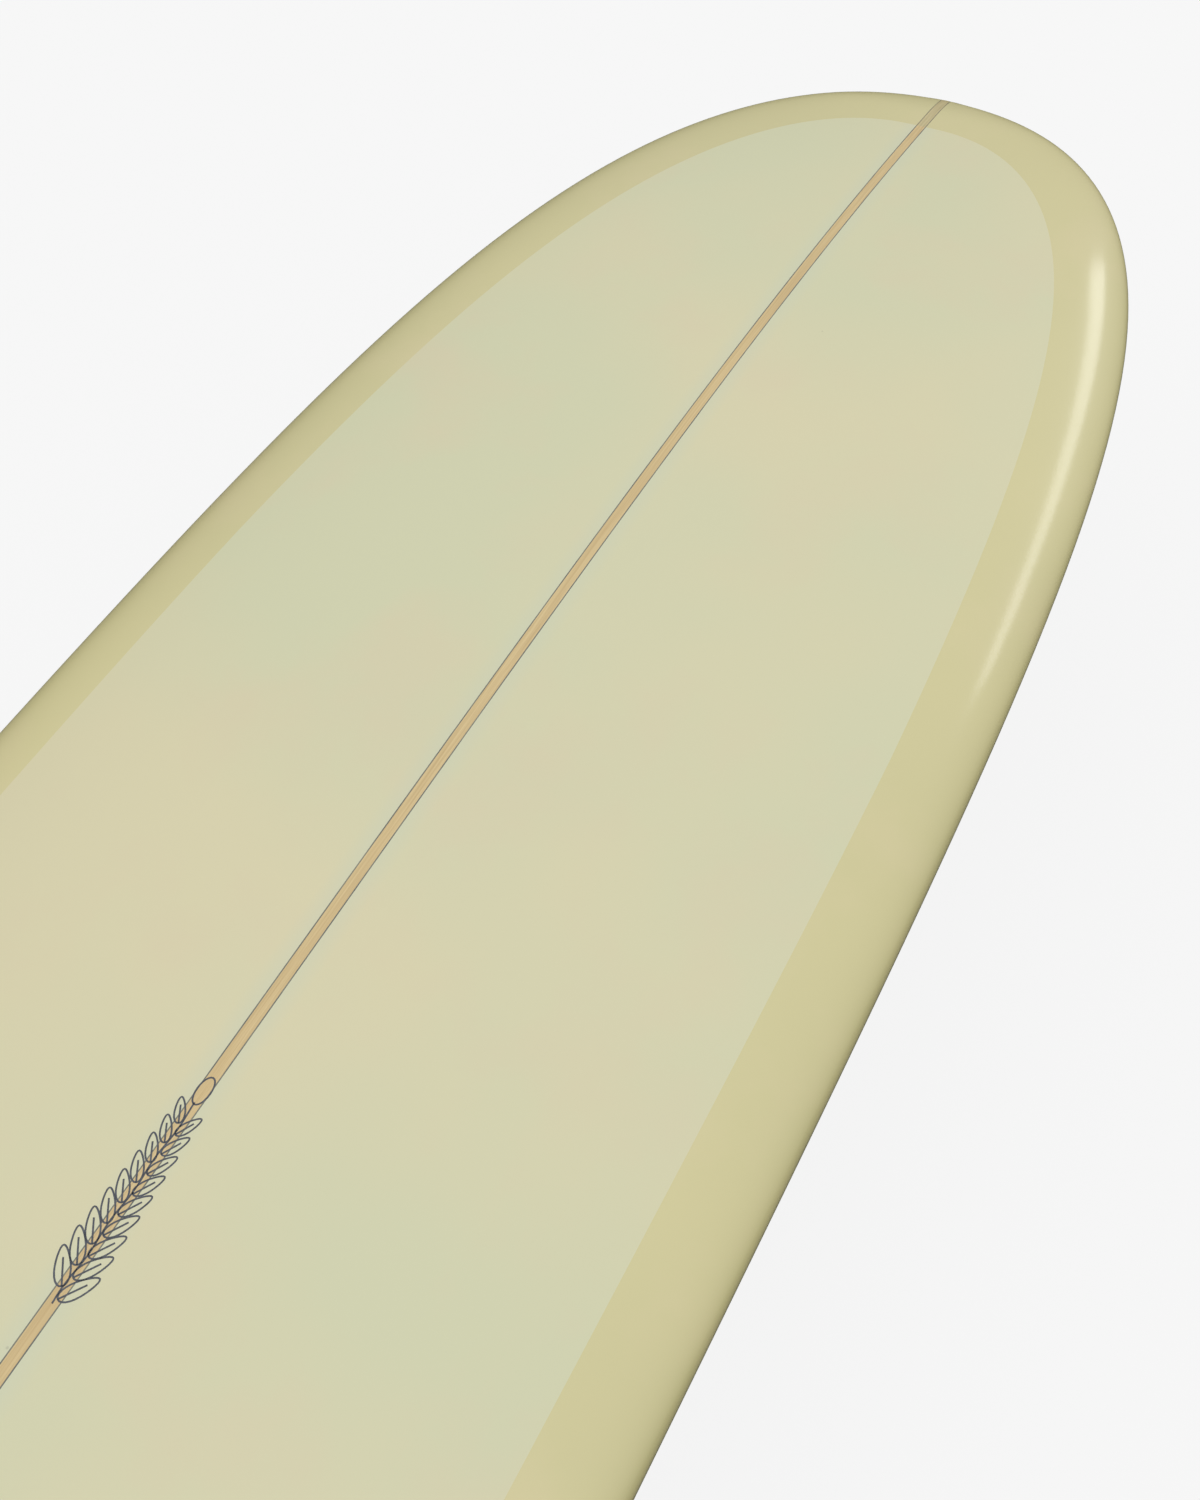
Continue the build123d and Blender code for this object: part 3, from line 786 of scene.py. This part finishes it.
def emblem_mesh():
    points = []
    faces = []
    spine = []
    for step in range(SPINE_STEPS + 1):
        share = 2 * step / SPINE_STEPS - 1
        spine.append((EMBLEM_HALF * share * SPINE_SHARE, SPINE_WAVE * math.sin(step * 0.5)))
    add_line(points, faces, spine)
    for pair in range(LEAF_PAIRS):
        share = pair / (LEAF_PAIRS - 1)
        root = EMBLEM_HALF * (-0.72 + 1.3 * share)
        length = EMBLEM_REACH * (1.15 - 0.35 * share)
        lean = math.radians(36 - 6 * share)
        for side in (1, -1):
            start = root + LEAF_STAGGER * side
            add_line(points, faces, leaf_path(start, length, lean, side), closed=True)
            add_line(points, faces, leaf_path(start, length * 0.7, lean, side, steps=2))
    bud = []
    for step in range(BUD_STEPS):
        turn = 2 * math.pi * step / BUD_STEPS
        along = EMBLEM_HALF * BUD_SHARE + BUD_LENGTH * math.cos(turn)
        bud.append((along, BUD_WIDTH * math.sin(turn)))
    add_line(points, faces, bud, closed=True)
    mesh = bpy.data.meshes.new("emblem")
    mesh.from_pydata(points, [], faces)
    mesh.update()
    return mesh


emblem = new_object("emblem", emblem_mesh())
emblem.data.materials.append(ink())
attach(emblem, "board")
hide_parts("deck_emblem")


# ---- Studio: pale floor and backdrop, soft light ----
PALE = linear(245, 245, 245)
BOWL_RADIUS = 40.0
BOWL_RINGS = 24
BOWL_TURNS = 64


def studio_material():
    """Evenly lit paper, a little uneven."""
    material = Material("studio_paper", roughness=1.0)
    shader = material.shader
    cloud = material.noise(0.3, 2.0)
    material.colour(material.mix(cloud, linear(64, 64, 64), linear(66, 66, 66)))
    shader.inputs["Specular IOR Level"].default_value = 0.0
    shader.inputs["Emission Color"].default_value = PALE
    shader.inputs["Emission Strength"].default_value = 0.96
    return material.material


def stage_bowl():
    """Floor that curves up into a closed backdrop. The board's light comes through it."""
    rings = BOWL_RINGS
    turns = BOWL_TURNS
    points = [(0.0, 0.0, FLOOR_LEVEL)]
    for ring in range(rings + 1):
        rise = math.pi / 2 * ring / rings
        radius = BOWL_RADIUS * math.cos(rise)
        level = FLOOR_LEVEL + BOWL_RADIUS * math.sin(rise)
        for step in range(turns):
            turn = 2 * math.pi * step / turns
            points.append((radius * math.cos(turn), radius * math.sin(turn), level))
    faces = [[0, 1 + step, 1 + (step + 1) % turns] for step in range(turns)]
    for ring in range(rings):
        for step in range(turns):
            here = 1 + ring * turns
            after = (step + 1) % turns
            faces.append([here + step, here + turns + step, here + turns + after, here + after])
    mesh = bpy.data.meshes.new("backdrop")
    mesh.from_pydata(points, [], faces)
    mesh.update()
    mesh.materials.append(studio_material())
    bowl = new_object("backdrop", mesh)
    bowl.visible_diffuse = False
    bowl.visible_glossy = False
    bowl.visible_shadow = False


def world_light():
    """Soft light from above that falls off below the horizon."""
    world = bpy.data.worlds.new("studio")
    world.use_nodes = True
    nodes = world.node_tree.nodes
    links = world.node_tree.links
    direction = nodes.new("ShaderNodeTexCoord").outputs["Generated"]
    split = nodes.new("ShaderNodeSeparateXYZ")
    links.new(direction, split.inputs["Vector"])
    height = nodes.new("ShaderNodeMapRange")
    height.inputs["From Min"].default_value = 0.05
    height.inputs["From Max"].default_value = 0.95
    height.inputs["To Min"].default_value = 0.1
    height.inputs["To Max"].default_value = 1.52
    links.new(split.outputs["Z"], height.inputs["Value"])
    background = nodes["Background"]
    background.inputs["Color"].default_value = PALE
    links.new(height.outputs["Result"], background.inputs["Strength"])
    bpy.context.scene.world = world


def strip_light(name, start, end, target, width, power):
    """A long narrow light from start to end that faces the target."""
    along = Vector(end) - Vector(start)
    middle = (Vector(end) + Vector(start)) / 2
    facing = (middle - Vector(target)).normalized()
    side = facing.cross(along).normalized()
    level = side.cross(facing)
    light = bpy.data.lights.new(name, "AREA")
    light.shape = "RECTANGLE"
    light.size = along.length
    light.size_y = width
    light.energy = power
    lamp = new_object(name, light)
    lamp.matrix_world = Matrix.Translation(middle) @ Matrix((level, side, facing)).transposed().to_4x4()


stage_bowl()
world_light()
strip_light(
    "rail_light",
    start=(3.44, -0.20, 1.50),
    end=(2.34, -0.97, 2.12),
    target=(1.02, -0.24, 0.29),
    width=0.16,
    power=3.0,
)

# ---- Camera: above the right rail, ahead of the middle, looking at the nose ----
CAMERA_PLACE = Vector((0.0925, -0.4539, 1.1096))
CAMERA_YAW = 0.5690
CAMERA_PITCH = -0.8626
CAMERA_ROLL = -0.0962
CAMERA_LENS = 42.66

camera_data = bpy.data.cameras.new("camera")
camera_data.sensor_width = 36.0
camera_data.lens = CAMERA_LENS
camera_data.clip_end = 200.0
camera = new_object("camera", camera_data)
level_reach = math.cos(CAMERA_PITCH)
ahead = Vector((
    level_reach * math.cos(CAMERA_YAW),
    level_reach * math.sin(CAMERA_YAW),
    math.sin(CAMERA_PITCH),
))
level_right = Vector((math.sin(CAMERA_YAW), -math.cos(CAMERA_YAW), 0.0))
level_up = level_right.cross(ahead)
right = level_right * math.cos(CAMERA_ROLL) + level_up * math.sin(CAMERA_ROLL)
up = right.cross(ahead)
turned = Matrix((right, up, -ahead)).transposed().to_4x4()
camera.matrix_world = Matrix.Translation(CAMERA_PLACE) @ turned
bpy.context.scene.camera = camera
bpy.context.scene.view_settings.view_transform = "Standard"
